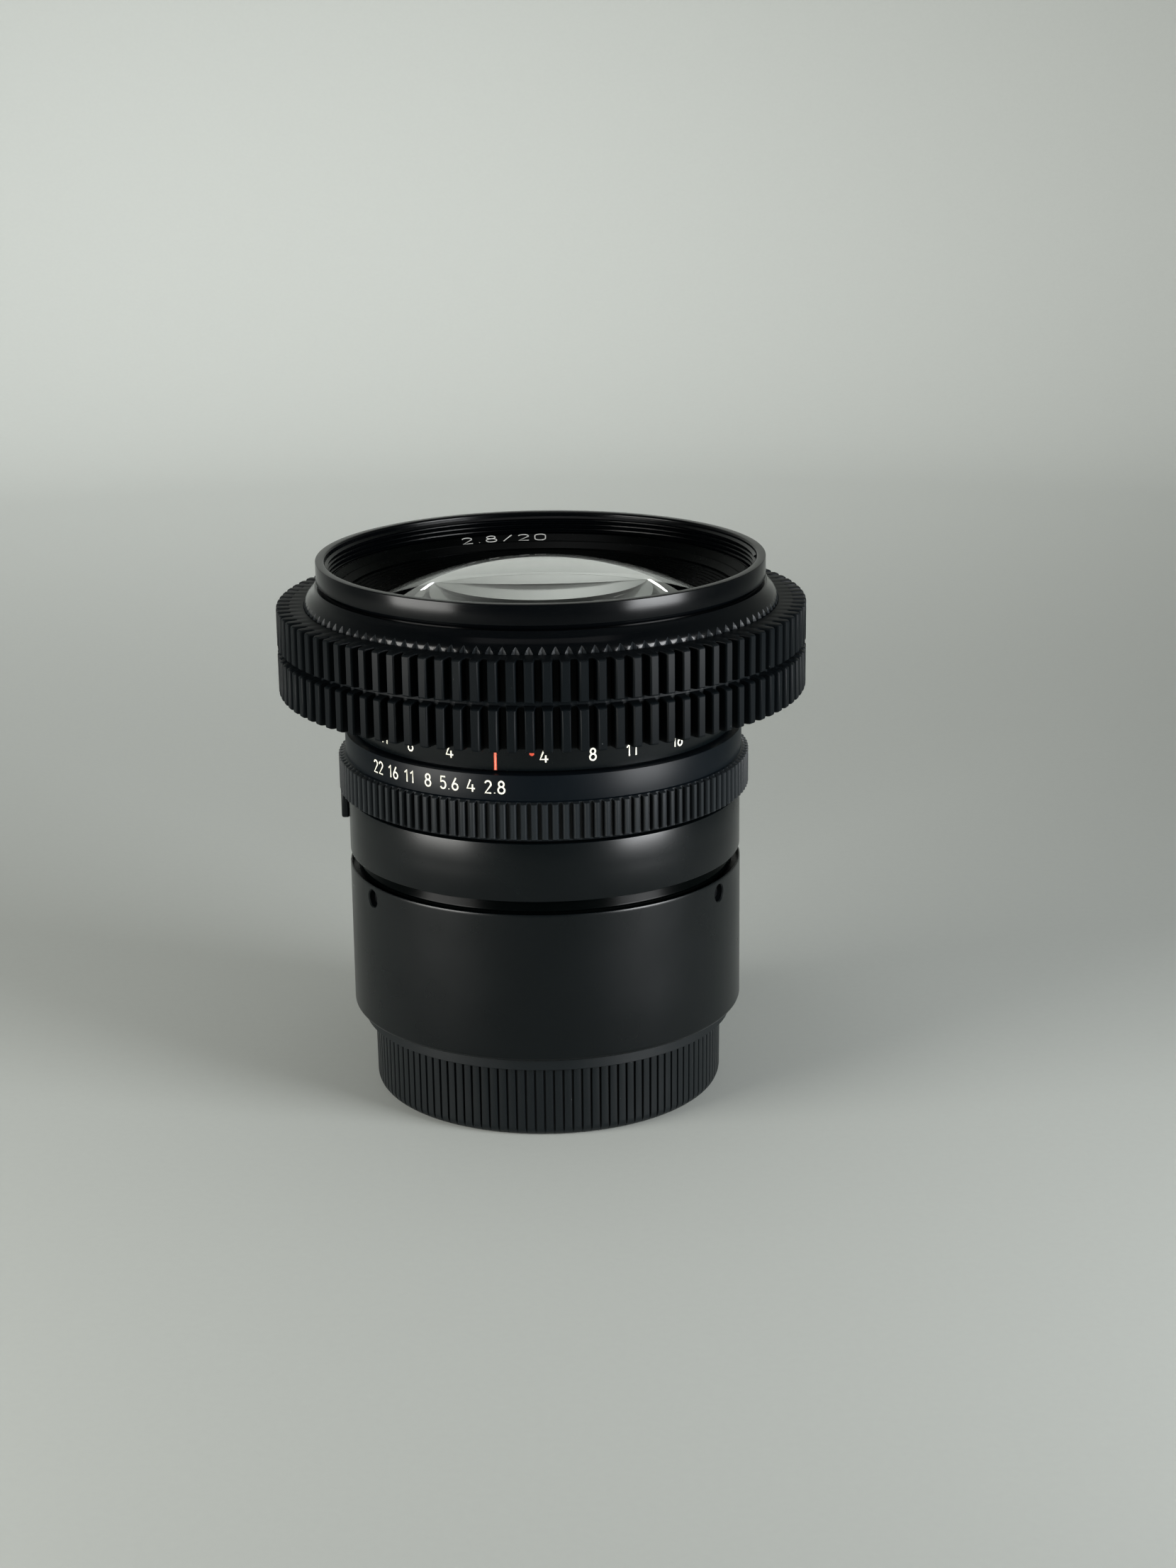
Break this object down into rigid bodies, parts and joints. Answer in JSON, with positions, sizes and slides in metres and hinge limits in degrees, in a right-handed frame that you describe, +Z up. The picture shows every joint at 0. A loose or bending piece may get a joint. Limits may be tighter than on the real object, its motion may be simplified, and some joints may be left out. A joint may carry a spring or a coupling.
{
  "type": "camera lens",
  "caption": "Wide-angle camera lens with a bulging front glass, aperture ring and toothed follow-focus ring, standing on a mount adapter with a ribbed rear cap.",
  "frame": {"origin": "centre of the rear cap's foot, on the floor", "axes": "+Z up the optical axis towards the front glass, -Y towards the side with the scales' index"},
  "size_m": [0.0826, 0.0826, 0.0861],
  "materials": {
    "cap_plastic": "moulded satin",
    "black_anodised": "satin black anodised",
    "black_ring": "semi-gloss black",
    "gear_polymer": "moulded, slight sheen",
    "inner_black": "matt black",
    "blade_steel": "blackened",
    "bayonet_metal": "satin chrome",
    "brass": "machined",
    "steel": "machined",
    "optical_glass": "polished and coated"
  },
  "bodies": {
    "barrel": {"adapter_body": "black_anodised", "adapter_thread_ring": "black_ring", "adapter_set_screws": "steel", "adapter_bayonet": "bayonet_metal", "bayonet_screws": "steel", "mount_base": "black_ring", "mount_screws": "steel", "rear_barrel": "black_anodised", "mechanism_plate": "brass", "stop_down_spring": "steel", "scale_barrel": "black_ring", "barrel_screws": "steel", "guide_keys": "brass"},
    "cap": {"rear_cap": "cap_plastic"},
    "stop_down": {"stop_down_pin": "steel"},
    "lever": {"auto_manual_lever": "black_anodised"},
    "aperture": {"aperture_ring": "black_anodised", "click_ball": "steel", "click_spring": "steel"},
    "lens_unit": {"lens_barrel": "inner_black", "focus_retainer": "brass", "front_cell": "inner_black", "filter_ring": "black_ring", "name_ring": "inner_black", "front_baffle": "inner_black", "front_element": "optical_glass", "second_element": "optical_glass", "middle_cell": "inner_black", "cell_screws": "steel", "third_element": "optical_glass", "middle_retainer": "inner_black", "fourth_element": "optical_glass", "iris_housing": "inner_black", "iris_cover": "inner_black", "rear_cell": "inner_black", "fifth_element": "optical_glass", "sixth_element": "optical_glass", "rear_spacer_upper": "inner_black", "seventh_element": "optical_glass", "rear_spacer_lower": "inner_black", "eighth_element": "optical_glass", "rear_retainer": "inner_black"},
    "focus": {"focus_ring": "black_ring", "helicoid_ring": "brass", "focus_set_screws": "steel", "focus_gear_ring": "gear_polymer"},
    "iris_drive": {"iris_drive_ring": "brass"},
    "blade_1": {"iris_blade_1": "blade_steel"},
    "blade_2": {"iris_blade_2": "blade_steel"},
    "blade_3": {"iris_blade_3": "blade_steel"},
    "blade_4": {"iris_blade_4": "blade_steel"},
    "blade_5": {"iris_blade_5": "blade_steel"},
    "blade_6": {"iris_blade_6": "blade_steel"}
  },
  "joints": [
    {"name": "cap_twist", "type": "hinge", "parent": "barrel", "child": "cap", "pos_m": [0, 0, 0.006], "axis": [0, 0, 1], "range_deg": [0, 55]},
    {"name": "stop_down_push", "type": "slide", "parent": "barrel", "child": "stop_down", "axis": [0, 0, 1], "range_m": [0, 0.0025], "stiffness_N_per_m": 120, "springref_m": -0.0015, "deforming": ["stop_down_spring"]},
    {"name": "lever_turn", "type": "hinge", "parent": "barrel", "child": "lever", "pos_m": [0, 0, 0.0442], "axis": [0, 0, -1], "range_deg": [0, 18]},
    {"name": "aperture_turn", "type": "hinge", "parent": "barrel", "child": "aperture", "pos_m": [0, 0, 0.0542], "axis": [0, 0, 1], "range_deg": [0, 37]},
    {"name": "focus_slide", "type": "slide", "parent": "barrel", "child": "lens_unit", "axis": [0, 0, 1], "range_m": [0, 0.0036]},
    {"name": "focus_turn", "type": "hinge", "parent": "lens_unit", "child": "focus", "pos_m": [0, 0, 0.0729], "axis": [0, 0, 1], "range_deg": [0, 200]},
    {"name": "iris_drive_turn", "type": "hinge", "parent": "lens_unit", "child": "iris_drive", "pos_m": [0, 0, 0.058], "axis": [0, 0, 1], "range_deg": [0, 3.8]},
    {"name": "blade_1_swing", "type": "hinge", "parent": "lens_unit", "child": "blade_1", "pos_m": [0.0146, 0, 0.0556], "axis": [0, 0, 1], "range_deg": [0, 26.02]},
    {"name": "blade_2_swing", "type": "hinge", "parent": "lens_unit", "child": "blade_2", "pos_m": [0.0073, 0.01264, 0.0556], "axis": [0, 0, 1], "range_deg": [0, 26.02]},
    {"name": "blade_3_swing", "type": "hinge", "parent": "lens_unit", "child": "blade_3", "pos_m": [-0.0073, 0.01264, 0.0556], "axis": [0, 0, 1], "range_deg": [0, 26.02]},
    {"name": "blade_4_swing", "type": "hinge", "parent": "lens_unit", "child": "blade_4", "pos_m": [-0.0146, 0, 0.0556], "axis": [0, 0, 1], "range_deg": [0, 26.02]},
    {"name": "blade_5_swing", "type": "hinge", "parent": "lens_unit", "child": "blade_5", "pos_m": [-0.0073, -0.01264, 0.0556], "axis": [0, 0, 1], "range_deg": [0, 26.02]},
    {"name": "blade_6_swing", "type": "hinge", "parent": "lens_unit", "child": "blade_6", "pos_m": [0.0073, -0.01264, 0.0556], "axis": [0, 0, 1], "range_deg": [0, 26.02]}
  ],
  "couplings": [
    {"joint": "focus_slide", "follows": "focus_turn", "m_per_rad": 0.0010312},
    {"joint": "iris_drive_turn", "follows": "aperture_turn", "ratio": 0.1022},
    {"joint": "blade_1_swing", "follows": "aperture_turn", "ratio": 0.7027},
    {"joint": "blade_2_swing", "follows": "aperture_turn", "ratio": 0.7027},
    {"joint": "blade_3_swing", "follows": "aperture_turn", "ratio": 0.7027},
    {"joint": "blade_4_swing", "follows": "aperture_turn", "ratio": 0.7027},
    {"joint": "blade_5_swing", "follows": "aperture_turn", "ratio": 0.7027},
    {"joint": "blade_6_swing", "follows": "aperture_turn", "ratio": 0.7027}
  ]
}
